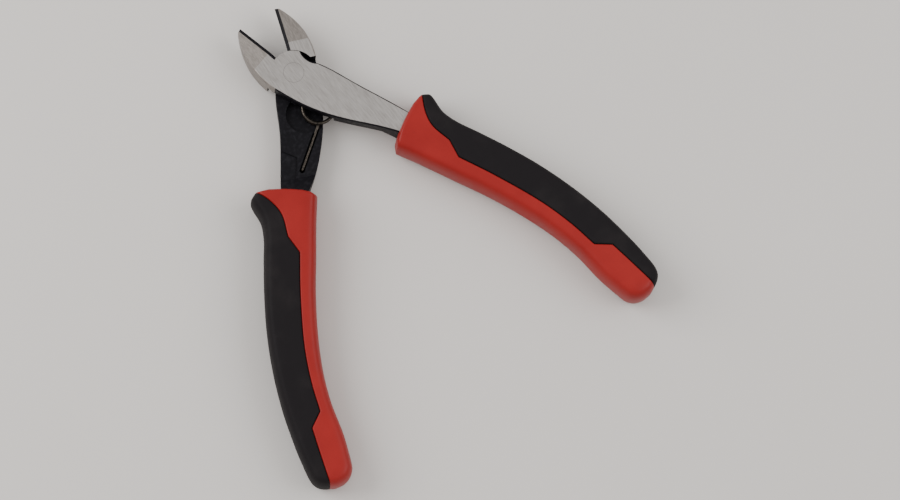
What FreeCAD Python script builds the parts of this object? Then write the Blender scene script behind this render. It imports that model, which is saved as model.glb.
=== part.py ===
"""Diagonal cutting pliers, 150 mm size, with a lap joint, a return spring and two-component grips.

Frame, in millimetres: the rivet's axis is Z and the joint's ground back face lies at z = 0.
+Y runs along the closed pliers' centre line from the rivet to the jaws.
Each half is drawn closed, with its jaw on -X and its handle on +X, and then swung open.
The back half is turned over about the Y axis first, at the height of the lap.
"""
import FreeCAD, Part
import math
import os
import Sketcher

V = FreeCAD.Vector
doc = FreeCAD.newDocument("diagonal_cutters")

# ---- driving dimensions -------------------------------------------------------------------------

sheet = doc.addObject("Spreadsheet::Sheet", "size")
DIMENSIONS = {
    "joint_thickness": 9.0,
    "lap_gap": 0.06,
    "edge_gap": 0.03,
    "open_angle": 18.4,
    "boss_radius": 7.2,
    "socket_radius": 7.35,
    "shoulder_height": 3.8,
    "jaw_reach": 22.4,
    "tip_width": 1.4,
    "facet_start": 10.0,
    "facet_drop": 2.5,
    "edge_lean": 2.0,
    "bevel_width": 1.05,
    "bevel_depth": 0.35,
    "relief_width": 2.4,
    "rivet_radius": 2.6,
    "rivet_head_radius": 3.3,
    "rivet_head_depth": 0.9,
    "running_fit": 0.05,
    "hollow_depth": 0.5,
    "ramp_start": 32.6,
    "ramp_end": 38.6,
    "tang_edge": 0.5,
    "shank_start": 41.0,
    "shank_thickness": 5.6,
    "coil_back": 12.9,
    "coil_side": 1.2,
    "coil_radius": 4.9,
    "coil_turns": 1.75,
    "wire_diameter": 1.1,
    "coil_pitch": 1.2,
    "coil_room": 6.1,
    "coil_pocket_depth": 1.85,
    "leg_groove_width": 1.7,
    "leg_groove_depth": 1.7,
    "leg_hole_radius": 0.85,
    "leg_hole_depth": 3.0,
    "leg_end": 1.9,
    "leg_bend": 1.3,
    "grip_thickness": 13.4,
    "cover_thickness": 13.8,
    "core_thickness": 8.6,
    "core_wall": 1.5,
    "grip_round": 2.0,
}
for row, (alias, value) in enumerate(DIMENSIONS.items(), start=1):
    sheet.set(f"A{row}", alias)
    sheet.set(f"B{row}", str(value))
    sheet.setAlias(f"B{row}", alias)
doc.recompute()


def dim(name):
    """A driving dimension's value, read from the sheet."""
    return float(sheet.get(name))


# ---- sketches and features ----------------------------------------------------------------------

def line(start, end):
    """A straight stretch of an outline."""
    return Part.LineSegment(V(*start, 0), V(*end, 0))


def arc(start, middle, end):
    """A round stretch of an outline, through three points."""
    return Part.Arc(V(*start, 0), V(*middle, 0), V(*end, 0))


def curve(*points):
    """A smooth stretch of an outline, through the points given."""
    spline = Part.BSplineCurve()
    spline.interpolate([V(*point, 0) for point in points])
    return spline


def polygon(*points):
    """The straight stretches of a closed outline."""
    return [line(a, b) for a, b in zip(points, points[1:] + points[:1])]


def origin_plane(body, role):
    """One of the body's own origin planes."""
    return next(item for item in body.Origin.OriginFeatures if item.Role == role)


def new_body(name):
    body = doc.addObject("PartDesign::Body", name)
    body.Label = name
    return body


def new_sketch(body, name, loops, plane="XY_Plane", offset=0.0):
    """A sketch of closed loops, on a plane of the body, moved along that plane's normal."""
    sketch = body.newObject("Sketcher::SketchObject", name)
    sketch.AttachmentSupport = [(origin_plane(body, plane), "")]
    sketch.MapMode = "FlatFace"
    sketch.AttachmentOffset = FreeCAD.Placement(V(0, 0, offset), FreeCAD.Rotation())
    for loop in loops:
        first = sketch.GeometryCount
        sketch.addGeometry(loop, False)
        numbers = list(range(first, first + len(loop)))
        for here, after in zip(numbers, numbers[1:] + numbers[:1]):
            if here != after:
                join_ends(sketch, here, after)
    return sketch


def join_ends(sketch, here, after):
    """Ties the two ends that meet. An arc runs counter-clockwise, so either end may be the near one."""
    gaps = {}
    for end in (1, 2):
        for start in (1, 2):
            gap = sketch.getPoint(here, end).distanceToPoint(sketch.getPoint(after, start))
            gaps[end, start] = gap
    end, start = min(gaps, key=gaps.get)
    sketch.addConstraint(Sketcher.Constraint("Coincident", here, end, after, start))


def bind(item, prop, expression):
    item.setExpression(prop, expression)


def pad(body, sketch, name, length, symmetric=False):
    """Adds material along the sketch's normal, its length bound to the sheet."""
    feature = body.newObject("PartDesign::Pad", name)
    feature.Profile = sketch
    if symmetric:
        feature.SideType = "Symmetric"
    bind(feature, "Length", length)
    return feature


def cut(body, sketch, name, length, upward=False, symmetric=False):
    """Removes material, and stops the build if nothing was removed."""
    doc.recompute()
    before = body.Shape.Volume
    feature = body.newObject("PartDesign::Pocket", name)
    feature.Profile = sketch
    feature.Reversed = upward
    if symmetric:
        feature.SideType = "Symmetric"
    bind(feature, "Length", length)
    doc.recompute()
    if body.Shape.Volume > before - 0.01:
        raise RuntimeError(f"{name} removes nothing")
    return feature


def on_circle(radius, degrees):
    angle = math.radians(degrees)
    return (radius * math.cos(angle), radius * math.sin(angle))


# ---- the forged halves --------------------------------------------------------------------------

# Each half's tang, from the rivet to the grip's mouth, at the lap. The back half's tang lies closer
# to the centre line than the front half's, and both lead into the same grip.
TANG_INNER = {
    "front_half": [(-8.1, 2.0), (-7.3, -4.0), (-6.0, -10.0), (-2.3, -20.0), (2.6, -29.5), (6.9, -38.7)],
    "back_half": [(-8.1, 2.0), (-7.9, -4.0), (-7.0, -11.0), (-4.9, -19.5), (-1.0, -29.5), (4.6, -38.7)],
}
TANG_OUTER = {
    "front_half": [(7.3, -3.7), (8.5, -8.0), (9.7, -15.0), (11.5, -24.5), (13.7, -36.8)],
    "back_half": [(6.6, -3.7), (7.3, -8.0), (8.0, -15.0), (9.9, -24.5), (12.7, -36.8)],
}
# The part of the tang inside the grip, the same in both halves.
SHANK_INNER = [(9.6, -48.0), (13.7, -64.0), (16.3, -82.0), (17.3, -99.0), (16.8, -112.0)]
SHANK_OUTER = [(16.3, -48.0), (20.4, -64.0), (23.4, -82.0), (24.3, -99.0), (23.6, -112.0)]
SHANK_END = (20.2, -115.0)

# The hole in each half that holds the end of the spring's leg.
LEG_HOLE = {"front_half": (4.9, -30.0), "back_half": (4.4, -30.4)}
# Where the coil ends on the open pliers, in degrees about its centre, and each half's side.
COIL_END = {"front_half": -45.0, "back_half": -135.0}
SIDE = {"front_half": 1, "back_half": -1}

# The lap reaches this far down the tang at full width.
LAP_END = -18.0
# Beyond it the tang is hollowed on its outer side, past a step that runs in to the leg.
HOLLOW_OUTLINE = [(16.0, -18.0), (14.0, -19.4), (4.9, -26.0), (6.9, -32.6), (16.0, -32.6)]
# Cutting tools reach past the forging by these amounts.
OVERCUT = 1.0
CLEAR_OF_TANG = 8.0
CLEAR_OF_GRIP = 140.0
ACROSS_HALF = "80"


def in_world(name, point):
    """A point of a half's own drawing, where it is on the open pliers."""
    angle = math.radians(dim("open_angle"))
    sine, cosine = math.sin(angle), math.cos(angle)
    x, y = point
    return (SIDE[name] * (x * cosine - y * sine), x * sine + y * cosine)


def in_half(name, point):
    """A point on the open pliers, in a half's own drawing."""
    angle = math.radians(dim("open_angle"))
    x, y = SIDE[name] * point[0], point[1]
    return (x * math.cos(angle) + y * math.sin(angle), -x * math.sin(angle) + y * math.cos(angle))


def leg_corner(name):
    """Where the wire, straight on from the coil's end, turns down its leg."""
    angle = math.radians(COIL_END[name])
    radius, run = dim("coil_radius"), dim("leg_bend")
    return (dim("coil_side") + radius * math.cos(angle) + SIDE[name] * run * math.sin(angle),
            -dim("coil_back") + radius * math.sin(angle) - SIDE[name] * run * math.cos(angle))


def beside_edge(along, across):
    """A point of the jaw, from its distances along the cutting edge and away from it."""
    lean = math.radians(dim("edge_lean"))
    sine, cosine = math.sin(lean), math.cos(lean)
    return (along * sine - across * cosine, along * cosine + across * sine)


def half_outline(name):
    """Outline of a whole half, clockwise from the cutting edge's inner end."""
    boss, gap = dim("boss_radius"), dim("edge_gap")
    reach = dim("jaw_reach")
    neck = on_circle(boss, 22)
    waist = (0.86 * boss, -1.2)
    inner, outer = TANG_INNER[name], TANG_OUTER[name]
    root = beside_edge(math.sqrt(boss ** 2 - gap ** 2), gap)
    tip = beside_edge(reach - 0.3, dim("tip_width"))
    edge_end = beside_edge(reach, gap)
    return [
        arc(root, on_circle(boss, 56), neck),
        curve(neck, waist, outer[0]),
        curve(*outer),
        curve(outer[-1], *SHANK_OUTER),
        arc(SHANK_OUTER[-1], SHANK_END, SHANK_INNER[-1]),
        curve(*SHANK_INNER[::-1], inner[-1]),
        curve(*inner[::-1]),
        arc(inner[0], (-6.5, 12.8), tip),
        line(tip, edge_end),
        line(edge_end, root),
    ]


def lap_outline():
    """What the other half needs clear round the rivet: its boss and the root of its tang."""
    socket, shoulder = dim("socket_radius"), dim("shoulder_height")
    side = math.sqrt(socket ** 2 - shoulder ** 2)
    return [
        arc((0, socket), on_circle(socket, 120), (-side, shoulder)),
        line((-side, shoulder), (-16, shoulder)),
        line((-16, shoulder), (-16, LAP_END)),
        line((-16, LAP_END), (16, LAP_END)),
        line((16, LAP_END), (16, socket)),
        line((16, socket), (0, socket)),
    ]


def coil_room_outline(sign):
    """The space that the coil sweeps in a half between open and closed: a slot round the rivet."""
    reach = math.hypot(dim("coil_back"), dim("coil_side"))
    room = dim("coil_room")
    lean = math.degrees(math.atan2(sign * dim("coil_side"), dim("coil_back")))
    start, end = -90 + lean - dim("open_angle") - 3, -90 + lean + 2
    middle = (start + end) / 2
    centre_start, centre_end = on_circle(reach, start), on_circle(reach, end)

    def cap(centre, towards):
        across = on_circle(room, towards)
        return (centre[0] + across[0], centre[1] + across[1])

    return [
        arc(on_circle(reach + room, start), on_circle(reach + room, middle), on_circle(reach + room, end)),
        arc(on_circle(reach + room, end), cap(centre_end, end + 90), on_circle(reach - room, end)),
        arc(on_circle(reach - room, end), on_circle(reach - room, middle), on_circle(reach - room, start)),
        arc(on_circle(reach - room, start), cap(centre_start, start - 90), on_circle(reach + room, start)),
    ]


def leg_outline(name):
    """The groove for the spring's leg, as wide as the sheet says, from the coil to the hole."""
    (x0, y0), (x1, y1) = in_half(name, leg_corner(name)), LEG_HOLE[name]
    length = math.hypot(x1 - x0, y1 - y0)
    width = dim("leg_groove_width") / 2
    along = (width * (x1 - x0) / length, width * (y1 - y0) / length)
    across = (-along[1], along[0])
    a, b = (x0 + across[0], y0 + across[1]), (x1 + across[0], y1 + across[1])
    c, d = (x1 - across[0], y1 - across[1]), (x0 - across[0], y0 - across[1])
    return [line(a, b), arc(b, (x1 + along[0], y1 + along[1]), c), line(c, d), line(d, a)]


def rivet_profile(fit):
    """Half section of the rivet, or with a fit of its hole: a shank with a sunk head at each end."""
    top, depth = dim("joint_thickness"), dim("rivet_head_depth")
    head, shank = dim("rivet_head_radius") + fit, dim("rivet_radius") + fit
    return polygon((0, 0), (head, 0), (shank, depth), (shank, top - depth), (head, top), (0, top))


def facet_fall(along):
    """How far the jaw's face has fallen below the joint's face at a distance from the rivet."""
    slope = dim("facet_drop") / (dim("jaw_reach") - dim("facet_start"))
    return slope * max(0.0, along - dim("facet_start"))


def edge_section(name, along):
    """What is ground away beside the cutting edge: a narrow bevel in front, and a long relief behind.

    The edge follows the jaw's front face, which in the turned-over back half is its own lower face.
    """
    top = dim("joint_thickness")
    face, way = (top, 1) if SIDE[name] > 0 else (0, -1)
    level = face - way * facet_fall(along)
    edge = along * math.tan(math.radians(dim("edge_lean")))
    width, depth = dim("bevel_width"), dim("bevel_depth")
    over = 0.3
    behind = top + OVERCUT
    relief = dim("relief_width") * (behind - depth) / (top - depth)
    clear = edge + 1.5
    return polygon(
        (edge - width * (depth + over) / depth, level + way * over),
        (edge, level - way * depth),
        (edge - relief, level - way * behind),
        (clear, level - way * behind),
        (clear, level + way * over),
    )


def grind_edge(body, name, past):
    """Grinds the bevel and the relief along the cutting edge, from the boss to past the tip."""
    doc.recompute()
    before = body.Shape.Volume
    stations = (dim("boss_radius") + 0.05, dim("facet_start"), past)
    sections = []
    for number, along in enumerate(stations):
        outline = edge_section(name, along)
        sections.append(new_sketch(body, f"{name}_edge_{number}", [outline], "XZ_Plane", offset=-along))
    ground = body.newObject("PartDesign::SubtractiveLoft", name + "_edge")
    ground.Profile = sections[0]
    ground.Sections = sections[1:]
    ground.Ruled = True
    doc.recompute()
    if body.Shape.Volume > before - 0.01:
        raise RuntimeError(f"{name}_edge removes nothing")


def break_tang_edges(body, name):
    """Rounds the long edges of the tang, on both faces."""
    doc.recompute()
    blank = body.Tip
    edges = []
    for number, edge in enumerate(blank.Shape.Edges, start=1):
        level = abs(edge.BoundBox.ZMax - edge.BoundBox.ZMin) < 0.001
        if level and edge.Curve.TypeId == "Part::GeomBSplineCurve":
            edges.append(f"Edge{number}")
    rounding = body.newObject("PartDesign::Fillet", name + "_tang_edges")
    rounding.Base = (blank, edges)
    bind(rounding, "Radius", "size.tang_edge")


def forged_half(name, fit):
    """One half: jaw, boss and tang from one forging. The rivet's hole gets the fit given."""
    body = new_body(name)
    top = dim("joint_thickness")
    lap = (top + dim("lap_gap")) / 2
    outline = new_sketch(body, name + "_outline", [half_outline(name)])
    boss = outline.addConstraint(Sketcher.Constraint("Radius", 0, dim("boss_radius")))
    outline.renameConstraint(boss, "boss_radius")
    bind(outline, "Constraints.boss_radius", "size.boss_radius")
    pad(body, outline, name + "_blank", "size.joint_thickness")
    break_tang_edges(body, name)

    lap_cut = new_sketch(body, name + "_lap_outline", [lap_outline()])
    cut(body, lap_cut, name + "_lap", "(size.joint_thickness + size.lap_gap) / 2", upward=True)

    # Past the lap the tang stays thin, and grows to its full thickness inside the grip's mouth.
    near, rise, full = LAP_END + OVERCUT, -dim("ramp_start"), -dim("ramp_end")
    ramp = polygon((near, -OVERCUT), (near, lap), (rise, lap), (full, 0), (full, -OVERCUT))
    ramp_cut = new_sketch(body, name + "_ramp_outline", [ramp], "YZ_Plane", offset=-CLEAR_OF_TANG)
    cut(body, ramp_cut, name + "_ramp", ACROSS_HALF, upward=True)
    hollow = new_sketch(body, name + "_hollow_outline", [polygon(*HOLLOW_OUTLINE)], offset=lap - OVERCUT)
    cut(body, hollow, name + "_hollow", f"size.hollow_depth + {OVERCUT}", upward=True)

    skin = (top - dim("shank_thickness")) / 2
    near, far = -dim("shank_start"), -CLEAR_OF_GRIP
    shank = [polygon((near, outside), (near - 2, inside), (far, inside), (far, outside))
             for outside, inside in ((-OVERCUT, skin), (top + OVERCUT, top - skin))]
    shank_cut = new_sketch(body, name + "_shank_outline", shank, "YZ_Plane")
    cut(body, shank_cut, name + "_shank", ACROSS_HALF, symmetric=True)

    past = dim("jaw_reach") + 2
    fall = facet_fall(past)
    facets = [polygon((dim("facet_start"), face), (past, face), (past, face - way * fall))
              for face, way in ((top, 1), (0, -1))]
    facet_cut = new_sketch(body, name + "_facet_outline", facets, "YZ_Plane")
    cut(body, facet_cut, name + "_facets", ACROSS_HALF, symmetric=True)
    grind_edge(body, name, past)

    doc.recompute()
    hole = new_sketch(body, name + "_rivet_hole", [rivet_profile(fit)], "XZ_Plane")
    groove = body.newObject("PartDesign::Groove", name + "_rivet_seat")
    groove.Profile = hole
    groove.ReferenceAxis = (hole, ["V_Axis"])
    groove.Angle = 360

    room = new_sketch(body, name + "_coil_outline", [coil_room_outline(SIDE[name])], offset=lap - OVERCUT)
    cut(body, room, name + "_coil_pocket", f"size.coil_pocket_depth + {OVERCUT}", upward=True)
    leg = new_sketch(body, name + "_leg_outline", [leg_outline(name)], offset=lap - OVERCUT)
    cut(body, leg, name + "_leg_groove", f"size.leg_groove_depth + {OVERCUT}", upward=True)
    circle = Part.Circle(V(*LEG_HOLE[name], 0), V(0, 0, 1), dim("leg_hole_radius"))
    hole_sketch = new_sketch(body, name + "_leg_hole_outline", [[circle]], offset=lap)
    hole_sketch.addConstraint(Sketcher.Constraint("Radius", 0, dim("leg_hole_radius")))
    hole_sketch.renameConstraint(0, "leg_hole_radius")
    bind(hole_sketch, "Constraints.leg_hole_radius", "size.leg_hole_radius")
    cut(body, hole_sketch, name + "_leg_hole", "size.leg_hole_depth", upward=True)
    return body


def place_front(body):
    """Swings a front piece open: its jaw goes to the left."""
    body.Placement = FreeCAD.Placement(V(), FreeCAD.Rotation(V(0, 0, 1), dim("open_angle")))


def place_back(body):
    """Turns a piece over at the height of the lap, and swings it open the other way."""
    turned = FreeCAD.Placement(V(0, 0, dim("joint_thickness")), FreeCAD.Rotation(V(0, 1, 0), 180))
    swung = FreeCAD.Placement(V(), FreeCAD.Rotation(V(0, 0, 1), -dim("open_angle")))
    body.Placement = swung * turned


def pivot_rivet():
    """The rivet: solid steel, its two sunk heads ground flush with the faces."""
    body = new_body("pivot_rivet")
    section = new_sketch(body, "rivet_section", [rivet_profile(0.0)], "XZ_Plane")
    turned = body.newObject("PartDesign::Revolution", "rivet_turned")
    turned.Profile = section
    turned.ReferenceAxis = (section, ["V_Axis"])
    turned.Angle = 360
    return body


# ---- the return spring --------------------------------------------------------------------------

def rounded_route(points, radius):
    """Straight runs through the points, each corner rounded by an arc of the radius given."""
    edges, at = [], points[0]
    for before, corner, after in zip(points, points[1:], points[2:]):
        back, ahead = (before - corner).normalize(), (after - corner).normalize()
        turn = math.pi - back.getAngle(ahead)
        run = radius * math.tan(turn / 2)
        middle = (back + ahead).normalize()
        enter, leave = corner + back * run, corner + ahead * run
        deep = corner + middle * (radius / math.cos(turn / 2) - radius)
        edges.append(Part.LineSegment(at, enter).toShape())
        edges.append(Part.Arc(enter, deep, leave).toShape())
        at = leave
    edges.append(Part.LineSegment(at, points[-1]).toShape())
    return edges


def leg_route(name, end):
    """One leg from the coil's end: straight on, round a small bend, down the tang and into its hole."""
    way = SIDE[name]
    corner = V(*leg_corner(name), end.z)
    hole = V(*in_world(name, LEG_HOLE[name]), end.z)
    return [end, corner, hole, hole + V(0, 0, way * dim("leg_end"))]


def return_spring():
    """Torsion spring of round wire: a coil about the lap's height, and a leg in each half."""
    pitch, rise = dim("coil_pitch"), dim("coil_pitch") * dim("coil_turns")
    low = dim("joint_thickness") / 2 - rise / 2
    helix = Part.makeHelix(pitch, rise, dim("coil_radius"), 0, True)
    helix.rotate(V(), V(0, 0, 1), COIL_END["back_half"])
    helix.translate(V(dim("coil_side"), -dim("coil_back"), low))
    ends = sorted((point.Point for point in helix.Vertexes), key=lambda point: point.z)
    bend = dim("leg_bend") * 0.7
    lower_leg = rounded_route(leg_route("back_half", ends[0])[::-1], bend)
    upper_leg = rounded_route(leg_route("front_half", ends[-1]), bend)
    path = Part.Wire(lower_leg + helix.Edges + upper_leg)
    first = lower_leg[0]
    start = first.ParameterRange[0]
    section = Part.Circle(first.valueAt(start), first.tangentAt(start), dim("wire_diameter") / 2)
    sweep = Part.BRepOffsetAPI.MakePipeShell(path)
    sweep.setFrenetMode(True)
    sweep.add(Part.Wire([section.toShape()]))
    sweep.build()
    sweep.makeSolid()
    spring = doc.addObject("Part::Feature", "return_spring")
    spring.Shape = sweep.shape()
    spring.Label = "return_spring"
    spring.Placement = FreeCAD.Placement()
    return spring


# ---- the grips ----------------------------------------------------------------------------------

# Outline of a grip from its mouth, in a half's own drawing.
MOUTH = [(20.8, -35.0), (17.4, -34.7), (11.6, -35.8), (4.0, -38.2)]
GRIP_INNER = [(1.9, -40.4), (4.3, -49.0), (6.9, -59.6), (9.6, -70.4), (11.8, -82.0), (13.1, -94.0),
              (13.0, -104.5), (11.7, -114.4), (11.4, -125.2)]
GRIP_END = [(11.4, -125.2), (13.4, -129.0), (19.6, -130.1)]
GRIP_OUTER_END = [(19.6, -130.1), (23.4, -128.6), (25.4, -124.3)]
GRIP_OUTER = [(25.4, -124.3), (26.9, -115.5), (28.1, -103.5), (28.2, -91.0), (27.2, -78.5), (25.3, -67.0),
              (23.0, -56.5), (21.3, -49.5), (20.9, -44.0), (22.3, -39.2), (22.5, -37.0), (20.8, -35.0)]
# The line between the hard sleeve and the soft cover: an S behind the thumb guard, a jog, a long
# stretch beside the finger side, and a jog to the stripe that runs to the end.
PARTING_FRONT = [(20.8, -35.0), (16.8, -39.4), (14.4, -44.5), (14.2, -51.5)]
PARTING_JOG = (11.8, -57.2)
PARTING_SIDE = [(11.8, -57.2), (14.6, -69.6), (17.2, -85.0), (17.9, -97.0), (17.4, -107.2)]
PARTING_STRIPE = [(21.0, -111.7), (20.5, -119.0), (19.6, -130.1)]


def parting():
    """The line between sleeve and cover, from the thumb guard to the end."""
    return [
        curve(*PARTING_FRONT),
        line(PARTING_FRONT[-1], PARTING_JOG),
        curve(*PARTING_SIDE),
        line(PARTING_SIDE[-1], PARTING_STRIPE[0]),
        curve(*PARTING_STRIPE),
    ]


# The core's front end, inside the sleeve's mouth.
CORE_MOUTH = [(6.4, -41.6), (15.3, -41.6)]


def core_outline():
    """The sleeve's core round the tang, hidden under the cover."""
    wall = dim("core_wall")
    outer = [(x + wall, y) for x, y in SHANK_OUTER]
    inner = [(x - wall, y) for x, y in SHANK_INNER]
    tip = (SHANK_END[0], SHANK_END[1] - wall)
    return [
        curve(CORE_MOUTH[1], *outer),
        arc(outer[-1], tip, inner[-1]),
        curve(*inner[::-1], CORE_MOUTH[0]),
        line(*CORE_MOUTH),
    ]


def round_rim(body, name, keep_sharp):
    """Rounds a grip piece's long top and bottom edges, apart from those on the parting line."""
    doc.recompute()
    shape = body.Shape
    parted = Part.Wire([piece.toShape() for piece in keep_sharp])
    heights = (shape.BoundBox.ZMin, shape.BoundBox.ZMax)
    rim = []
    for number, edge in enumerate(shape.Edges, start=1):
        middle = edge.valueAt(sum(edge.ParameterRange) / 2)
        flat = any(abs(vertex.Z - z) < 0.001 for z in heights for vertex in edge.Vertexes)
        level = abs(edge.BoundBox.ZMax - edge.BoundBox.ZMin) < 0.001
        across = parted.distToShape(Part.Vertex(middle.x, middle.y, 0))[0]
        if flat and level and across > 0.2:
            rim.append(f"Edge{number}")
    blank = body.Tip
    rounding = body.newObject("PartDesign::Fillet", name)
    rounding.Base = (blank, rim)
    bind(rounding, "Radius", "size.grip_round")
    doc.recompute()
    return rounding


def grip_sleeve(name, half):
    """The hard inner moulding: the finger side at full height, and a core round the tang."""
    body = new_body(name + "_blank")
    middle = dim("joint_thickness") / 2
    outline = [curve(*MOUTH), line(MOUTH[-1], GRIP_INNER[0]), curve(*GRIP_INNER), arc(*GRIP_END)]
    side = new_sketch(body, name + "_outline", [outline + reversed_parting()], offset=middle)
    pad(body, side, name + "_side", "size.grip_thickness", symmetric=True)
    round_rim(body, name + "_rim", parting())
    core = new_sketch(body, name + "_core_outline", [core_outline()], offset=middle)
    pad(body, core, name + "_core", "size.core_thickness", symmetric=True)
    sleeve = doc.addObject("Part::Cut", name)
    sleeve.Base = body
    sleeve.Tool = half
    sleeve.Label = name
    return body, sleeve


def reversed_parting():
    """The parting line from the end back to the thumb guard."""
    return [
        curve(*PARTING_STRIPE[::-1]),
        line(PARTING_STRIPE[0], PARTING_SIDE[-1]),
        curve(*PARTING_SIDE[::-1]),
        line(PARTING_JOG, PARTING_FRONT[-1]),
        curve(*PARTING_FRONT[::-1]),
    ]


def grip_cover(name):
    """The soft overmould: the palm side with the thumb guard, open where the core goes in."""
    body = new_body(name)
    middle = dim("joint_thickness") / 2
    outline = parting() + [arc(*GRIP_OUTER_END), curve(*GRIP_OUTER)]
    side = new_sketch(body, name + "_outline", [outline], offset=middle)
    pad(body, side, name + "_side", "size.cover_thickness", symmetric=True)
    round_rim(body, name + "_rim", parting())
    core = new_sketch(body, name + "_core_outline", [core_outline()], offset=middle)
    cut(body, core, name + "_seat", "size.core_thickness", symmetric=True)
    return body


# ---- assembly -----------------------------------------------------------------------------------

front = forged_half("front_half", 0.0)
back = forged_half("back_half", dim("running_fit"))
rivet = pivot_rivet()
spring = return_spring()
right_blank, right_sleeve = grip_sleeve("right_grip_sleeve", front)
right_cover = grip_cover("right_grip_cover")
left_blank, left_sleeve = grip_sleeve("left_grip_sleeve", back)
left_cover = grip_cover("left_grip_cover")
for piece in (front, right_blank, right_cover):
    place_front(piece)
for piece in (back, left_blank, left_cover):
    place_back(piece)
doc.recompute()

parts = [front, back, rivet, spring, right_sleeve, right_cover, left_sleeve, left_cover]
for item in doc.Objects:
    if "Invalid" in item.State or "Error" in item.State:
        raise RuntimeError(f"{item.Name} failed: {item.State}")
os.makedirs("parts", exist_ok=True)
for part in parts:
    if part.Shape.isNull() or not part.Shape.isValid():
        raise RuntimeError(f"{part.Label} has no valid shape")
    part.Shape.exportStep(f"parts/{part.Label}.step")
    box = part.Shape.BoundBox
    print(f"{part.Label:20s} {len(part.Shape.Solids)} solid(s) {part.Shape.Volume:9.1f} mm3 "
          f"x {box.XMin:7.2f} {box.XMax:7.2f} y {box.YMin:8.2f} {box.YMax:7.2f} "
          f"z {box.ZMin:6.2f} {box.ZMax:6.2f}")
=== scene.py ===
"""Diagonal cutting pliers: two forged and ground halves, a rivet, a return spring and two-component
grips. Metres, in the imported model's frame: the rivet's axis is Z, and +Y runs towards the jaws."""
import math
import bmesh
import bpy
import numpy as np
from mathutils import Matrix, Vector


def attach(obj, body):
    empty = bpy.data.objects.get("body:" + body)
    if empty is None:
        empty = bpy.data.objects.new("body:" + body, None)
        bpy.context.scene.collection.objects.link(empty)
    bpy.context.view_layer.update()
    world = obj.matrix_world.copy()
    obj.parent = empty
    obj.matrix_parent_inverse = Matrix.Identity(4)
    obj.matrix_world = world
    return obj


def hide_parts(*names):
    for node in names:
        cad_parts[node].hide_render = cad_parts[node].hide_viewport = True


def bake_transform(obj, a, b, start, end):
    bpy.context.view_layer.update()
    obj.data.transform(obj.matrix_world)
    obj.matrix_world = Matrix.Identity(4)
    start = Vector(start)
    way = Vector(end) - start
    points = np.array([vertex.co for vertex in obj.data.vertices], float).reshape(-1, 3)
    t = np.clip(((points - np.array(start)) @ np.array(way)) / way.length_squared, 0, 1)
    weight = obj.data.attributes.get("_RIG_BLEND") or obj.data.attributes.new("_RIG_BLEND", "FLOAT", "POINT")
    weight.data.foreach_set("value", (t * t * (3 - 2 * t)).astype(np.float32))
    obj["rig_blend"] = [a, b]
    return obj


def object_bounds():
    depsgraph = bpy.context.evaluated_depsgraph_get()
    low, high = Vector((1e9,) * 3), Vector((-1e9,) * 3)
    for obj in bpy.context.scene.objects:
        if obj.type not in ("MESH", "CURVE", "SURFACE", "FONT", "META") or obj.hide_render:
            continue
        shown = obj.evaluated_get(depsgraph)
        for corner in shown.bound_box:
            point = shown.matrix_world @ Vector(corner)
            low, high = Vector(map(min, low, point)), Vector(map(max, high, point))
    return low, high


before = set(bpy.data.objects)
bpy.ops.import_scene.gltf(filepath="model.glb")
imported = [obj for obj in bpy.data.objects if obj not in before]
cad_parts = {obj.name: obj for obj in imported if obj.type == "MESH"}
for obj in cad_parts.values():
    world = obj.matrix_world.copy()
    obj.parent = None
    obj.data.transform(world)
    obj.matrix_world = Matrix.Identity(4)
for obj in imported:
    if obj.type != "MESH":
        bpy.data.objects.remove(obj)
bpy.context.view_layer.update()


# ---- forged halves ------------------------------------------------------------------------------
# Each half is one drop forging of carbon steel: jaw, boss and tang. It is hardened and blackened in
# hot oxide, and then its faces and its jaw are ground bright on a belt. The cutting bevels, the lap
# and the sides of the tang keep the black oxide.

SWING = math.radians(18.4)            # each half is swung this far open from the centre line
JOINT_THICKNESS = 0.009
FACET_START = 0.010                   # the jaw's facets begin this far from the rivet's axis
JAW_SIDE_END = 0.0010                 # the jaw's side is ground down to here
LAP_SIDE_JAW = -0.0035                # on the lap's side, only the jaw is ground
FACE_SKIN = 0.0002                    # the two faces are told apart from what lies below them by this
JAW_SIDE_FACING = -0.25               # the jaw's side faces outward by more than this
GROUND_FLAT = 0.965                   # the belt reaches faces this level; the bevels lean more

GROUND_LIGHT = "#b4b0ad"
GROUND_DARK = "#928e8b"
# painted shade: multiplied into the ground steel of the jaw's facets and curved side, which lean away from
# the light
FACET_PAINTED_SHADE = "#dad6d2"
OXIDE_BLACK = "#0c0b0f"
OXIDE_WORN = "#1a191d"
BELT_SCRATCH_WIDTH = 0.00045          # a 120-grit belt leaves 0.1 mm scratches: drawn wider, to show
BELT_SCRATCH_LENGTH = 0.0045
BELT_BAND_WIDTH = 0.0024              # broader streaks where the belt wandered
BELT_ANGLE = math.radians(12)         # the belt ran a little across the tang
BELT_BAND_DEPTH = 0.005
SCRATCH_DEPTH = 0.00006
SCALE_SPECK = 0.0011                  # forging scale mottles the black oxide


def linear(code):
    """An sRGB hex colour as the linear colour that a shader wants."""
    parts = [int(code[i:i + 2], 16) / 255 for i in (1, 3, 5)]
    return [part / 12.92 if part <= 0.04045 else ((part + 0.055) / 1.055) ** 2.4 for part in parts] + [1.0]


def add(material, kind, sockets=None, **settings):
    """Adds a shader node with its settings. A socket is given a value, or another node's output."""
    tree = material.node_tree
    node = tree.nodes.new("ShaderNode" + kind)
    for name, value in settings.items():
        setattr(node, name, value)
    for name, value in (sockets or {}).items():
        if isinstance(value, bpy.types.NodeSocket):
            tree.links.new(value, node.inputs[name])
        else:
            node.inputs[name].default_value = value
    return node


def new_material(name):
    """An empty node material with its shader, for a finish to be built on."""
    material = bpy.data.materials.new(name)
    material.use_nodes = True
    material.node_tree.nodes.clear()
    shader = add(material, "BsdfPrincipled")
    add(material, "OutputMaterial", {"Surface": shader.outputs[0]})
    return material, shader


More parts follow.
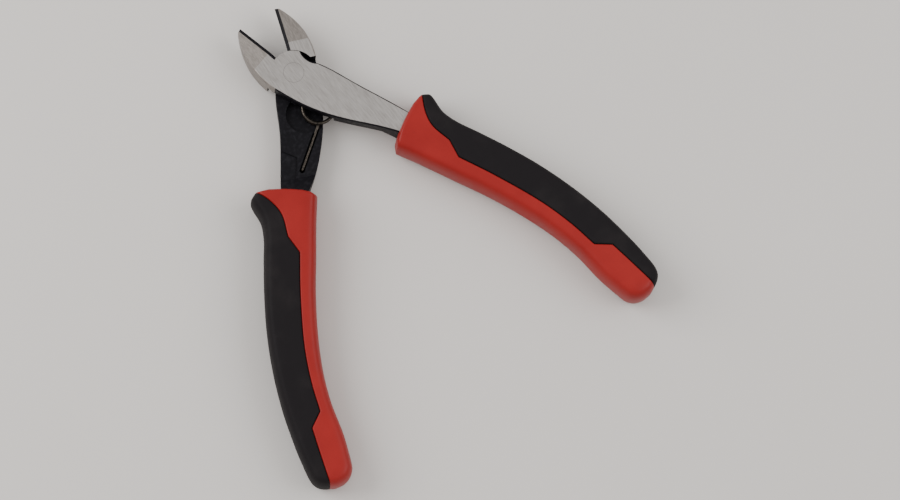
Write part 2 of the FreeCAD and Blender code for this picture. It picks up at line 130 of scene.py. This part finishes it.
def feed(material, shader, **sockets):
    """Links outputs to the shader's sockets, which are named with _ for a space."""
    for name, output in sockets.items():
        material.node_tree.links.new(output, shader.inputs[name.replace("_", " ")])


def belt_ground(material, drawing):
    """Belt-ground steel: its colour, roughness and height, from streaks that run along the belt."""
    across = 1 / BELT_SCRATCH_WIDTH
    along = add(material, "Mapping", {"Vector": drawing, "Rotation": (0, 0, BELT_ANGLE)})
    fine_place = add(material, "Mapping", {
        "Vector": along.outputs[0], "Scale": (across, 1 / BELT_SCRATCH_LENGTH, across)})
    fine = add(material, "TexNoise", {
        "Vector": fine_place.outputs[0], "Scale": 1.0, "Detail": 3.0, "Roughness": 0.65})
    band_place = add(material, "Mapping", {
        "Vector": along.outputs[0], "Scale": (1 / BELT_BAND_WIDTH,
                  1 / (3 * BELT_SCRATCH_LENGTH), 1 / BELT_BAND_DEPTH)})
    band = add(material, "TexNoise", {"Vector": band_place.outputs[0], "Scale": 1.0, "Detail": 2.0})
    streak = add(material, "Mix", {0: 0.25, 2: fine.outputs[0], 3: band.outputs[0]})
    spread = add(material, "MapRange", {
        "Value": streak.outputs[0], "From Min": 0.36, "From Max": 0.64})
    colour = add(material, "Mix", {
        0: spread.outputs[0], 6: linear(GROUND_DARK), 7: linear(GROUND_LIGHT)}, data_type="RGBA")
    rough = add(material, "MapRange", {
        "Value": spread.outputs[0], "To Min": 0.46, "To Max": 0.34})
    return colour.outputs[2], rough.outputs[0], fine.outputs[0]


def black_oxide(material, drawing):
    """Black oxide on forged steel: a satin blue-black, mottled by the forging scale under it."""
    scale = add(material, "TexNoise", {
        "Vector": drawing, "Scale": 1 / SCALE_SPECK, "Detail": 4.0, "Roughness": 0.6})
    worn = add(material, "MapRange", {
        "Value": scale.outputs[0], "From Min": 0.45, "From Max": 0.75}, interpolation_type="SMOOTHSTEP")
    colour = add(material, "Mix", {
        0: worn.outputs[0], 6: linear(OXIDE_BLACK), 7: linear(OXIDE_WORN)}, data_type="RGBA")
    rough = add(material, "MapRange", {
        "Value": scale.outputs[0], "From Min": 0.3, "From Max": 0.7, "To Min": 0.36, "To Max": 0.56})
    return colour.outputs[2], rough.outputs[0], scale.outputs[0]


def forged_steel(name, turned_over):
    """The finish of a whole half: ground where the belt reached it, black oxide everywhere else, and painted
    shade on the jaw's facets and curved side.
    """
    material, shader = new_material(name)
    side = -1 if turned_over else 1
    place = add(material, "TexCoord")
    drawing = add(material, "Mapping", {
        "Vector": place.outputs["Object"], "Scale": (side, 1, side), "Rotation": (0, 0, -SWING),
        "Location": (0, 0, JOINT_THICKNESS if turned_over else 0)}).outputs[0]
    facing = add(material, "Mapping", {
        "Vector": place.outputs["Normal"], "Scale": (side, 1, side),
        "Rotation": (0, 0, -SWING)}, vector_type="VECTOR").outputs[0]
    at = add(material, "SeparateXYZ", {0: drawing})
    towards = add(material, "SeparateXYZ", {0: facing})

    # The two flat faces: the outer one is ground all over, the lap's only on the jaw.
    level = add(material, "Math", {0: towards.outputs[2]}, operation="ABSOLUTE")
    flat = add(material, "Math", {0: level.outputs[0], 1: GROUND_FLAT}, operation="GREATER_THAN")
    outer = add(material, "Math", {
        0: at.outputs[2], 1: JOINT_THICKNESS - FACE_SKIN}, operation="GREATER_THAN")
    past_lap = add(material, "Math", {
        0: at.outputs[1], 1: LAP_SIDE_JAW}, operation="GREATER_THAN")
    low = add(material, "Math", {0: at.outputs[2], 1: FACE_SKIN}, operation="LESS_THAN")
    lap_side = add(material, "Math", {0: low.outputs[0], 1: past_lap.outputs[0]}, operation="MULTIPLY")
    facet = add(material, "Math", {0: at.outputs[1], 1: FACET_START}, operation="GREATER_THAN")
    faces = add(material, "Math", {0: outer.outputs[0], 1: lap_side.outputs[0]}, operation="MAXIMUM")
    faces = add(material, "Math", {0: faces.outputs[0], 1: facet.outputs[0]}, operation="MAXIMUM")
    faces = add(material, "Math", {0: faces.outputs[0], 1: flat.outputs[0]}, operation="MULTIPLY")

    # The jaw's curved side, from its shoulder to its tip.
    outward = add(material, "Math", {
        0: towards.outputs[0], 1: JAW_SIDE_FACING}, operation="LESS_THAN")
    on_jaw = add(material, "Math", {0: at.outputs[1], 1: JAW_SIDE_END}, operation="GREATER_THAN")
    jaw_side = add(material, "Math", {0: outward.outputs[0], 1: on_jaw.outputs[0]}, operation="MULTIPLY")
    ground = add(material, "Math", {0: faces.outputs[0], 1: jaw_side.outputs[0]}, operation="MAXIMUM")

    bright, bright_rough, scratch = belt_ground(material, drawing)
    black, black_rough, scale = black_oxide(material, drawing)
    # Painted shade: the jaw's facets and its curved side are darkened in colour for how the light falls on
    # them, not for a finish of their own.
    painted_shade = add(material, "Math", {0: facet.outputs[0], 1: jaw_side.outputs[0]}, operation="MAXIMUM")
    toned = add(material, "Mix", {
        0: painted_shade.outputs[0], 6: bright, 7: linear(FACET_PAINTED_SHADE)}, data_type="RGBA", blend_type="MULTIPLY")
    colour = add(material, "Mix", {
        0: ground.outputs[0], 6: black, 7: toned.outputs[2]}, data_type="RGBA")
    rough = add(material, "Mix", {0: ground.outputs[0], 2: black_rough, 3: bright_rough})
    metal = add(material, "MapRange", {"Value": ground.outputs[0], "To Min": 0.0, "To Max": 1.0})
    height = add(material, "Mix", {0: ground.outputs[0], 2: scale, 3: scratch})
    bump = add(material, "Bump", {
        "Height": height.outputs[0], "Strength": 0.35, "Distance": SCRATCH_DEPTH})
    shader.inputs["Specular IOR Level"].default_value = 0.1
    feed(material, shader, Base_Color=colour.outputs[2], Roughness=rough.outputs[0],
         Metallic=metal.outputs[0], Normal=bump.outputs[0])
    return material


def refinish(node, material):
    """Gives a CAD node its own finish."""
    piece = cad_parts[node]
    piece.data.materials.clear()
    piece.data.materials.append(material)
    return piece


for node, place, turned_over in (("front_half", "front", False), ("back_half", "back", True)):
    finish = forged_steel("forged steel, black oxide and belt-ground, " + place, turned_over)
    refinish(node, finish)


# ---- pivot rivet --------------------------------------------------------------------------------
# The rivet is a plain steel pin, headed over in a countersink at each end and ground flush with the
# faces in the same pass, so that only a fine ring shows where its head ends.

RIVET_HEAD_RADIUS = 0.0033
RING_WIDTH = 0.00022
RING_TONE = "#6f6c69"


def flush_rivet():
    """Rivet steel, ground flush: the belt's streaks, and a dark ring at the head's edge."""
    material, shader = new_material("rivet steel, ground flush")
    place = add(material, "TexCoord")
    drawing = add(material, "Mapping", {
        "Vector": place.outputs["Object"], "Rotation": (0, 0, -SWING)}).outputs[0]
    colour, rough, scratch = belt_ground(material, drawing)
    at = add(material, "SeparateXYZ", {0: drawing})
    flat = add(material, "CombineXYZ", {0: at.outputs[0], 1: at.outputs[1]})
    out = add(material, "VectorMath", {0: flat.outputs[0]}, operation="LENGTH")
    ring = add(material, "MapRange", {
        "Value": out.outputs["Value"], "From Min": RIVET_HEAD_RADIUS - RING_WIDTH,
        "From Max": RIVET_HEAD_RADIUS}, interpolation_type="SMOOTHSTEP")
    toned = add(material, "Mix", {
        0: ring.outputs[0], 6: colour, 7: linear(RING_TONE)}, data_type="RGBA")
    bump = add(material, "Bump", {"Height": scratch, "Strength": 0.35, "Distance": SCRATCH_DEPTH})
    shader.inputs["Metallic"].default_value = 1.0
    feed(material, shader, Base_Color=toned.outputs[2], Roughness=rough, Normal=bump.outputs[0])
    return material


refinish("pivot_rivet", flush_rivet())


# ---- return spring ------------------------------------------------------------------------------
# A torsion spring wound from 1.1 mm music wire. Its coil sits in the pockets behind the rivet, and
# each leg lies in a groove and hooks into a hole in its half. The coil turns by half as much as the
# handles, so each leg bends where it leaves the coil.

WIRE_RADIUS = 0.00055
WIRE_SIDES = 14
COIL_STEPS = 126
COIL_CENTRE = Vector((0.0012, -0.0129, 0.0045))
COIL_RADIUS = 0.0049
COIL_RISE = 0.0021                    # a pitch of 1.2 mm for 1.75 turns
COIL_TURN = math.radians(-630)        # left-hand, going up
BACK_END, FRONT_END = math.radians(-135), math.radians(-45)
LEG_RUN = 0.0013                      # the wire runs straight on before it turns down its leg
LEG_BEND = 0.0009
HOOK = 0.0019
FRONT_HOLE = (0.0049, -0.0300)
BACK_HOLE = (0.0044, -0.0304)
WIRE_GREY = "#4e4842"
WIRE_DARK = "#2a2725"
DRAW_LINE = 0.0005                    # drawing lines along the wire are finer: drawn wider, to show
DRAW_DEPTH = 0.00003


def swung(side, x, y, z):
    """A point of a half's own drawing, on the open pliers."""
    cosine, sine = math.cos(SWING), math.sin(SWING)
    return Vector((side * (x * cosine - y * sine), x * sine + y * cosine, z))


def on_coil(angle, z):
    """A point of the coil's centre line."""
    return Vector((COIL_CENTRE.x + COIL_RADIUS * math.cos(angle),
                   COIL_CENTRE.y + COIL_RADIUS * math.sin(angle), z))


def rounded(points, radius, steps=6):
    """The points joined by straight runs, with each corner eased."""
    route = [points[0]]
    for before, corner, after in zip(points, points[1:], points[2:]):
        enter = corner + (before - corner).normalized() * min(radius, (before - corner).length / 2)
        leave = corner + (after - corner).normalized() * min(radius, (after - corner).length / 2)
        for i in range(steps + 1):
            t = i / steps
            route.append(enter * (1 - t) ** 2 + corner * 2 * t * (1 - t) + leave * t ** 2)
    route.append(points[-1])
    return route


def tube(name, route, radius, sides=WIRE_SIDES):
    """A round wire along the route, its section carried from point to point without twisting."""
    verts, faces = [], []
    direction = (route[1] - route[0]).normalized()
    across = direction.orthogonal().normalized()
    for i, point in enumerate(route):
        ahead = (route[min(i + 1, len(route) - 1)] - route[max(i - 1, 0)]).normalized()
        across = (direction.rotation_difference(ahead) @ across).normalized()
        direction = ahead
        up = direction.cross(across)
        for j in range(sides):
            angle = 2 * math.pi * j / sides
            verts.append(point + radius * (math.cos(angle) * across + math.sin(angle) * up))
    for i in range(len(route) - 1):
        for j in range(sides):
            a, b = i * sides + j, i * sides + (j + 1) % sides
            faces.append((a, b, b + sides, a + sides))
    faces.append(tuple(range(sides))[::-1])
    faces.append(tuple(range(len(verts) - sides, len(verts))))
    mesh = bpy.data.meshes.new(name)
    mesh.from_pydata(verts, [], faces)
    mesh.polygons.foreach_set("use_smooth", [True] * len(faces))
    piece = bpy.data.objects.new(name, mesh)
    bpy.context.scene.collection.objects.link(piece)
    return piece


def drawn_wire():
    """Music wire, oil-tempered: a brown-grey skin with fine drawing lines."""
    material, shader = new_material("music wire, oil-tempered")
    place = add(material, "TexCoord")
    lines = add(material, "TexNoise", {
        "Vector": place.outputs["Object"], "Scale": 1 / DRAW_LINE, "Detail": 3.0, "Distortion": 0.6})
    tone = add(material, "MapRange", {"Value": lines.outputs[0], "From Min": 0.35, "From Max": 0.65})
    colour = add(material, "Mix", {
        0: tone.outputs[0], 6: linear(WIRE_DARK), 7: linear(WIRE_GREY)}, data_type="RGBA")
    rough = add(material, "MapRange", {"Value": lines.outputs[0], "To Min": 0.24, "To Max": 0.44})
    bump = add(material, "Bump", {"Height": lines.outputs[0], "Strength": 0.2, "Distance": DRAW_DEPTH})
    shader.inputs["Metallic"].default_value = 1.0
    feed(material, shader, Base_Color=colour.outputs[2], Roughness=rough.outputs[0], Normal=bump.outputs[0])
    return material


low, high = COIL_CENTRE.z - COIL_RISE / 2, COIL_CENTRE.z + COIL_RISE / 2
coil = [on_coil(BACK_END + COIL_TURN * i / COIL_STEPS, low + COIL_RISE * i / COIL_STEPS)
        for i in range(COIL_STEPS + 1)]
back_corner = on_coil(BACK_END, low) - LEG_RUN * Vector((math.sin(BACK_END), -math.cos(BACK_END), 0))
front_corner = on_coil(FRONT_END, high) + LEG_RUN * Vector((math.sin(FRONT_END), -math.cos(FRONT_END), 0))
back_hook = swung(-1, *BACK_HOLE, low)
front_hook = swung(1, *FRONT_HOLE, high)
back_leg = rounded([back_hook - Vector((0, 0, HOOK)), back_hook, back_corner, coil[0]], LEG_BEND)
front_leg = rounded([coil[-1], front_corner, front_hook, front_hook + Vector((0, 0, HOOK))], LEG_BEND)


def divided(points, step=0.0006):
    """The same route with its long straight runs divided, so that they can bend."""
    route = [points[0]]
    for a, b in zip(points, points[1:]):
        pieces = max(1, round((b - a).length / step))
        route += [a.lerp(b, i / pieces) for i in range(1, pieces + 1)]
    return route


back_leg, front_leg = divided(back_leg), divided(front_leg)
wire_route = back_leg[:-1] + coil + front_leg[1:]
spring = tube("return_spring_wire", wire_route, WIRE_RADIUS)
spring.data.materials.append(drawn_wire())
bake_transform(spring, "front_assembly", "back_assembly", start=front_hook, end=back_hook)

# The wire's share of the back half's turn: none at the front hook, all at the back hook, and half on
# the coil. Each leg takes its bend over the stretch next to the coil.
BEND_STRETCH = 0.007
shares = []
stretches = ((back_leg[:-1], 1.0, True), (coil, 0.5, None), (front_leg[1:], 0.0, False))
for points, at_hook, from_hook in stretches:
    run = [0.0]
    for a, b in zip(points, points[1:]):
        run.append(run[-1] + (b - a).length)
    for passed in run:
        if from_hook is None:
            shares.append(0.5)
            continue
        left = run[-1] - passed if from_hook else passed
        t = min(1.0, left / BEND_STRETCH)
        shares.append(0.5 + (at_hook - 0.5) * t * t * (3 - 2 * t))
blend_weights = spring.data.attributes["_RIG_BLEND"].data
blend_weights.foreach_set("value", np.repeat(shares, WIRE_SIDES).astype(np.float32))
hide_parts("return_spring")


# ---- grips --------------------------------------------------------------------------------------
# Each grip is moulded in two shots: a hard red sleeve pushed over the tang, which the fingers meet,
# and a soft black cover moulded on to its palm side, with the thumb guard at its front. A fine groove
# with a raised lip runs along the joint between them.

# Outline of a grip in a half's own drawing, in mm, as part of the closed pliers with the jaw up.
MOUTH = [(1.9, -40.4), (4.0, -38.2), (7.6, -36.9), (11.6, -35.8), (17.4, -34.7), (20.8, -35.0)]
INNER = [(1.9, -40.4), (4.3, -49.0), (6.9, -59.6), (9.6, -70.4), (11.8, -82.0), (13.1, -94.0),
         (13.0, -104.5), (11.7, -114.4), (11.4, -120.5), (11.4, -125.2), (11.9, -127.0),
         (13.0, -128.6), (14.6, -129.7), (16.2, -130.2), (17.9, -130.4), (19.6, -130.1)]
OUTER = [(20.8, -35.0), (22.5, -37.0), (22.3, -39.2), (20.9, -44.0), (21.3, -49.5), (23.0, -56.5),
         (25.3, -67.0), (27.2, -78.5), (28.2, -91.0), (28.1, -103.5), (26.9, -115.5),
         (26.1, -120.5), (25.4, -124.3), (24.9, -126.2), (24.2, -127.7), (23.1, -128.9),
         (21.5, -129.7), (19.6, -130.1)]
# The joint between sleeve and cover, stretch by stretch, each with the heights (mm along the grip)
# that it is matched with on the inner and outer outlines.
PARTING = [
    ([(20.8, -35.0), (16.8, -39.4), (14.4, -44.5), (14.2, -51.5)], -53.8, -49.6, 26),
    ([(14.2, -51.5), (11.8, -57.2)], -58.5, -54.5, 8),
    ([(11.8, -57.2), (14.6, -69.6), (17.2, -85.0), (17.9, -97.0), (17.4, -107.2)], -107.0, -106.5, 44),
    ([(17.4, -107.2), (21.0, -111.7)], -112.2, -110.5, 8),
    ([(21.0, -111.7), (20.5, -119.0), (19.6, -130.1)], None, None, 26),
]
SLEEVE_HALF, COVER_HALF = 6.7, 6.9    # half the grip's thickness, in each material
RIM_WIDTH = 2.6                       # the top rounds over into the side
RIM_POWER = 2.5
MOUTH_RIM = 1.3
MOUTH_REACH = 9.0                     # the ribs follow the mouth's curve over this distance from it
MOUTH_STEPS = 40
MOUTH_CROWDING = 1.6                  # ribs stand closer together towards the mouth and the end
END_CROWDING = 1.4
RIM_STEPS, MIDDLE_STEPS = 9, 7
BESIDE_JOINT = [1.3, 0.8, 0.5, 0.3, 0.14, 0.0]
ROOM_FOR_RIM = 2.5                    # a rib narrower than its rim and this is scaled down to fit
WELD, SLIVER = 2e-6, 1e-6
SHARP_ANGLE = math.radians(55)
CREASE_WIDTH = 3.5                    # a soft crease runs along the red side, where the top begins to fall
CREASE_DROP = 0.45
# Height of the lip and the groove beside the joint, at distances from it.
SLEEVE_LIP = ([0.0, 0.12, 0.3, 0.55, 1.0], [-0.55, -0.15, 0.06, 0.05, 0.0])
COVER_LIP = ([0.0, 0.15, 0.35, 0.8, 1.3], [-0.75, -0.3, -0.08, 0.0, 0.0])


def smooth(points, step=0.25):
    """A smooth line through the points, as an array of closely spaced ones."""
    points = [Vector(point) for point in points]
    line = [2 * points[0] - points[1]] + points + [2 * points[-1] - points[-2]]
    out = []
    for a, b, c, d in zip(line, line[1:], line[2:], line[3:]):
        pieces = max(2, round((c - b).length / step))
        for i in range(pieces):
            t = i / pieces
            out.append(0.5 * (2 * b + (c - a) * t + (2 * a - 5 * b + 4 * c - d) * t ** 2
                              + (3 * b - a - 3 * c + d) * t ** 3))
    out.append(points[-1])
    return np.array([tuple(point) for point in out])


def along(line, start, end, count):
    """Points evenly spaced on a line, from one share of its length to another."""
    steps = np.hypot(*np.diff(line, axis=0).T)
    length = np.concatenate([[0], np.cumsum(steps)])
    at = np.linspace(start, end, count) * length[-1]
    return np.column_stack([np.interp(at, length, line[:, 0]), np.interp(at, length, line[:, 1])])


def share_at(line, height):
    """The share of a line's length at which it passes a height, or its end."""
    if height is None:
        return 1.0
    steps = np.hypot(*np.diff(line, axis=0).T)
    length = np.concatenate([[0], np.cumsum(steps)])
    first = np.argmax(line[:, 1] < height)
    return length[first] / length[-1]


def away(points, line):
    """Distance of each point from a line."""
    a, b = line[:-1], line[1:]
    ab = b - a
    ap = points[:, None] - a[None]
    t = np.clip((ap * ab).sum(2) / np.maximum((ab ** 2).sum(1), 1e-12), 0, 1)
    return np.hypot(*(ap - t[..., None] * ab).transpose(2, 0, 1)).min(1)


inner_line, outer_line = smooth(INNER), smooth(OUTER)
mouth_line = np.array(MOUTH)
parting_line = np.vstack([smooth(points) for points, _, _, _ in PARTING])
rim_line = np.vstack([inner_line, outer_line[::-1]])


def swell(distance, width):
    """How full the section is at a distance in from its rim: nothing at the rim, one past its width."""
    inside = 1 - np.clip(distance / width, 0, 1)
    return (1 - inside ** RIM_POWER) ** (1 / RIM_POWER)


def ribs(edge_line, matched):
    """Where ribs across the grip begin and end: on the outline, and on the joint."""
    edge, joint, last = [], [], 0.0
    for row, stretch in enumerate(PARTING):
        points, count = stretch[0], stretch[3]
        share = share_at(edge_line, stretch[matched])
        ease = np.linspace(0, 1, count + 1) ** (MOUTH_CROWDING if row == 0 else 1.0)
        if row == len(PARTING) - 1:
            ease = 1 - (1 - ease) ** END_CROWDING
        skip = 0 if row == 0 else 1
        edge += [along(edge_line, last + (share - last) * t, 1, 2)[0] for t in ease[skip:]]
        joint += [along(smooth(points), t, 1, 2)[0] for t in ease[skip:]]
        last = share
    return np.array(edge), np.array(joint)


def across_rib(width, rim):
    """Distances in from the outline along a rib: close together over the rim and at the joint."""
    turn = np.linspace(0, math.pi / 2, RIM_STEPS)
    over = rim * (1 - np.cos(turn) ** (2 / RIM_POWER))
    scale = min(1.0, width / (rim + ROOM_FOR_RIM))
    near = width - np.array(BESIDE_JOINT) * scale
    middle = np.linspace(over[-1] * scale, near[0], MIDDLE_STEPS)[1:-1]
    return np.concatenate([over * scale, middle, near])


def grip_skin(name, edge_line, matched, half, lip, creased):
    """One material of a grip as a closed skin, in a half's own drawing: ribs from outline to joint."""
    edge, joint = ribs(edge_line, matched)
    bulge = along(mouth_line, 0, 1, MOUTH_STEPS)
    verts, rings = [], []
    for number, (a, b) in enumerate(zip(edge, joint)):
        width = np.hypot(*(b - a))
        shares = across_rib(width, RIM_WIDTH) / max(width, 1e-9)
        plan = a + shares[:, None] * (b - a)
        if creased:
            # Near the mouth the ribs follow the mouth's own curve.
            near = max(0.0, 1 - np.hypot(*(b - joint[0])) / MOUTH_REACH) ** 1.5
            at = shares[:, None] * (MOUTH_STEPS - 1)
            bow = np.column_stack([np.interp(at[:, 0], range(MOUTH_STEPS), bulge[:, k]) for k in (0, 1)])
            chord = bulge[0] + shares[:, None] * (bulge[-1] - bulge[0])
            plan = plan + near * (bow - chord)
        rings.append(plan)
    count = len(rings[0])
    plan = np.vstack(rings)
    from_rim = away(plan, rim_line)
    full = np.minimum(swell(from_rim, RIM_WIDTH), swell(away(plan, mouth_line), MOUTH_RIM))
    height = half + np.interp(away(plan, parting_line), *lip)
    if creased:
        height = height - CREASE_DROP * np.clip(1 - from_rim / CREASE_WIDTH, 0, 1)
    top = (height * full).reshape(-1, count)
    top[0] = top[-1] = top[:, 0] = 0  # the skin closes along the mouth, the end and the outline
    plan = plan.reshape(-1, count, 2)

    # Each ring runs over the top from the outline to the joint, and back underneath.
    for i in range(len(edge)):
        verts += [(x, y, z) for (x, y), z in zip(plan[i], top[i])]
        verts += [(x, y, -z) for (x, y), z in zip(plan[i][:0:-1], top[i][:0:-1])]
    ring = 2 * count - 1
    faces = []
    for i in range(len(edge) - 1):
        for j in range(ring):
            a, b = i * ring + j, i * ring + (j + 1) % ring
            faces.append((a, b, b + ring, a + ring))
    mesh = bpy.data.meshes.new(name)
    mesh.from_pydata([Vector(v) * 0.001 for v in verts], [], faces)
    return mesh


def place_grip(name, mesh, side, body, nodes, material):
    """Swings a grip's skin on to its half. The left grip is the same moulding, turned over."""
    swing = Matrix.Rotation(SWING * side, 4, "Z")
    mirror = Matrix.Diagonal((side, 1, 1, 1))
    mesh.transform(Matrix.Translation((0, 0, JOINT_THICKNESS / 2)) @ swing @ mirror)
    work = bmesh.new()
    work.from_mesh(mesh)
    bmesh.ops.remove_doubles(work, verts=work.verts, dist=WELD)
    bmesh.ops.dissolve_degenerate(work, edges=work.edges, dist=SLIVER)
    bmesh.ops.recalc_face_normals(work, faces=work.faces)
    work.to_mesh(mesh)
    work.free()
    mesh.polygons.foreach_set("use_smooth", [True] * len(mesh.polygons))
    mesh.set_sharp_from_angle(angle=SHARP_ANGLE)
    mesh.materials.append(material)
    piece = bpy.data.objects.new(name, mesh)
    bpy.context.scene.collection.objects.link(piece)
    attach(piece, body)
    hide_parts(*nodes)
    return piece


RED = "#8a1c19"
RED_DEEP = "#7f1917"
SPARK_GRAIN = 0.0003                  # the mould's spark-eroded grain is about 0.05 mm: drawn coarser
SPARK_DEPTH = 0.00004
HANDLING = 0.012                      # broad patches polished or dulled by handling
BLACK_RUBBER = "#151214"
RUBBER_DUSTY = "#1c191a"
RUBBER_GRAIN = 0.00035                # the matt grain of the soft cover, drawn coarser than its 0.1 mm
GRAIN_DEPTH = 0.00006


def moulded_red():
    """Hard polypropylene, injection-moulded: satin red, from a spark-eroded mould, rubbed by hands."""
    material, shader = new_material("polypropylene, moulded satin red")
    place = add(material, "TexCoord").outputs["Object"]
    grain = add(material, "TexNoise", {"Vector": place, "Scale": 1 / SPARK_GRAIN, "Detail": 2.0})
    hands = add(material, "TexNoise", {"Vector": place, "Scale": 1 / HANDLING, "Detail": 3.0})
    tone = add(material, "Mix", {0: 0.3, 2: hands.outputs[0], 3: grain.outputs[0]})
    tone = add(material, "MapRange", {"Value": tone.outputs[0], "From Min": 0.36, "From Max": 0.64})
    colour = add(material, "Mix", {
        0: tone.outputs[0], 6: linear(RED_DEEP), 7: linear(RED)}, data_type="RGBA")
    rough = add(material, "MapRange", {
        "Value": hands.outputs[0], "From Min": 0.3, "From Max": 0.7, "To Min": 0.36, "To Max": 0.5})
    bump = add(material, "Bump", {"Height": grain.outputs[0], "Strength": 0.25, "Distance": SPARK_DEPTH})
    shader.inputs["IOR"].default_value = 1.49
    shader.inputs["Specular IOR Level"].default_value = 0.18
    feed(material, shader, Base_Color=colour.outputs[2], Roughness=rough.outputs[0], Normal=bump.outputs[0])
    return material


def soft_black():
    """Thermoplastic rubber, moulded matt: near black, a little dusty, with a fine even grain."""
    material, shader = new_material("thermoplastic rubber, moulded matt black")
    place = add(material, "TexCoord").outputs["Object"]
    grain = add(material, "TexNoise", {"Vector": place, "Scale": 1 / RUBBER_GRAIN, "Detail": 2.0})
    dust = add(material, "TexNoise", {"Vector": place, "Scale": 1 / HANDLING, "Detail": 5.0})
    settled = add(material, "MapRange", {
        "Value": dust.outputs[0], "From Min": 0.45, "From Max": 0.7}, interpolation_type="SMOOTHSTEP")
    colour = add(material, "Mix", {
        0: settled.outputs[0], 6: linear(BLACK_RUBBER), 7: linear(RUBBER_DUSTY)}, data_type="RGBA")
    rough = add(material, "MapRange", {"Value": grain.outputs[0], "To Min": 0.55, "To Max": 0.75})
    bump = add(material, "Bump", {"Height": grain.outputs[0], "Strength": 0.4, "Distance": GRAIN_DEPTH})
    shader.inputs["IOR"].default_value = 1.5
    shader.inputs["Specular IOR Level"].default_value = 0.1
    feed(material, shader, Base_Color=colour.outputs[2], Roughness=rough.outputs[0], Normal=bump.outputs[0])
    return material


red_plastic, black_rubber = moulded_red(), soft_black()
for side, hand, body in ((1, "right", "front_assembly"), (-1, "left", "back_assembly")):
    sleeve = grip_skin(hand + "_sleeve_skin", inner_line, 1, SLEEVE_HALF, SLEEVE_LIP, True)
    cover = grip_skin(hand + "_cover_skin", outer_line, 2, COVER_HALF, COVER_LIP, False)
    place_grip(hand + "_sleeve", sleeve, side, body, [hand + "_grip_sleeve"], red_plastic)
    place_grip(hand + "_cover", cover, side, body, [hand + "_grip_cover"], black_rubber)


# ---- table, light and camera --------------------------------------------------------------------
# The pliers lie on a plain pale table in a white studio: even light from all round, and a little more
# from two large diffusers, low enough to stay out of the steel's reflection.

TABLE = "#c8c4c1"
TABLE_DARK = "#c6c2be"
TABLE_SIZE = 1.6
MOTTLE = 0.05
TABLE_GAP = 0.0001
LIGHT_TARGET = (0, -0.05, 0)


def painted_table():
    """Matt painted board: pale warm grey, even, with faint broad mottling."""
    material, shader = new_material("board, matt pale paint")
    place = add(material, "TexCoord").outputs["Object"]
    mottle = add(material, "TexNoise", {"Vector": place, "Scale": 1 / MOTTLE, "Detail": 3.0})
    colour = add(material, "Mix", {
        0: mottle.outputs[0], 6: linear(TABLE_DARK), 7: linear(TABLE)}, data_type="RGBA")
    shader.inputs["Roughness"].default_value = 0.85
    shader.inputs["Specular IOR Level"].default_value = 0.2
    feed(material, shader, Base_Color=colour.outputs[2])
    return material


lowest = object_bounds()[0][2]
table_mesh = bpy.data.meshes.new("table")
half = TABLE_SIZE / 2
corners = [(-half, -half, 0), (half, -half, 0), (half, half, 0), (-half, half, 0)]
table_mesh.from_pydata(corners, [], [(0, 1, 2, 3)])
table_mesh.materials.append(painted_table())
table = bpy.data.objects.new("table", table_mesh)
table.location = (0, 0, lowest - TABLE_GAP)
bpy.context.scene.collection.objects.link(table)


def aim(item, place, target, up):
    """Stands an object at a place, looking down its own -Z at the target, with the given way up."""
    back = (Vector(place) - Vector(target)).normalized()
    right = Vector(up).cross(back).normalized()
    turned = Matrix((right, back.cross(right), back)).transposed().to_4x4()
    item.matrix_world = Matrix.Translation(place) @ turned


def diffuser(name, place, size, power):
    light = bpy.data.lights.new(name, "AREA")
    light.shape = "DISK"
    light.size = size
    light.energy = power
    lamp = bpy.data.objects.new(name, light)
    bpy.context.scene.collection.objects.link(lamp)
    aim(lamp, place, LIGHT_TARGET, (0, 1, 0.01))


diffuser("window_diffuser", (-0.55, 0.5, 0.6), 0.8, 9.0)
diffuser("fill_diffuser", (0.6, -0.45, 0.7), 0.8, 4.5)
world = bpy.data.worlds.new("studio")
world.use_nodes = True
world.node_tree.nodes["Background"].inputs[0].default_value = linear("#f6f4f2")
world.node_tree.nodes["Background"].inputs[1].default_value = 1.05
bpy.context.scene.world = world

VIEW_TILT, VIEW_SIDE, VIEW_ROLL = math.radians(14), math.radians(220), math.radians(57.5)
VIEW_DISTANCE = 1.0
SENSOR = 36
VIEW_WIDTH = 0.2798                   # what the frame takes in across, at the level of the joint's face
VIEW_TARGET = (0.0112, -0.0740, 0.009)

camera_data = bpy.data.cameras.new("camera")
camera_data.sensor_width = SENSOR
camera_data.lens = SENSOR * VIEW_DISTANCE / VIEW_WIDTH
camera_data.clip_start = 0.01
camera = bpy.data.objects.new("camera", camera_data)
bpy.context.scene.collection.objects.link(camera)
towards_camera = Vector((math.sin(VIEW_TILT) * math.cos(VIEW_SIDE),
                         math.sin(VIEW_TILT) * math.sin(VIEW_SIDE), math.cos(VIEW_TILT)))
aim(camera, Vector(VIEW_TARGET) + VIEW_DISTANCE * towards_camera, VIEW_TARGET,
    (math.cos(VIEW_ROLL), math.sin(VIEW_ROLL), 0))
bpy.context.scene.camera = camera
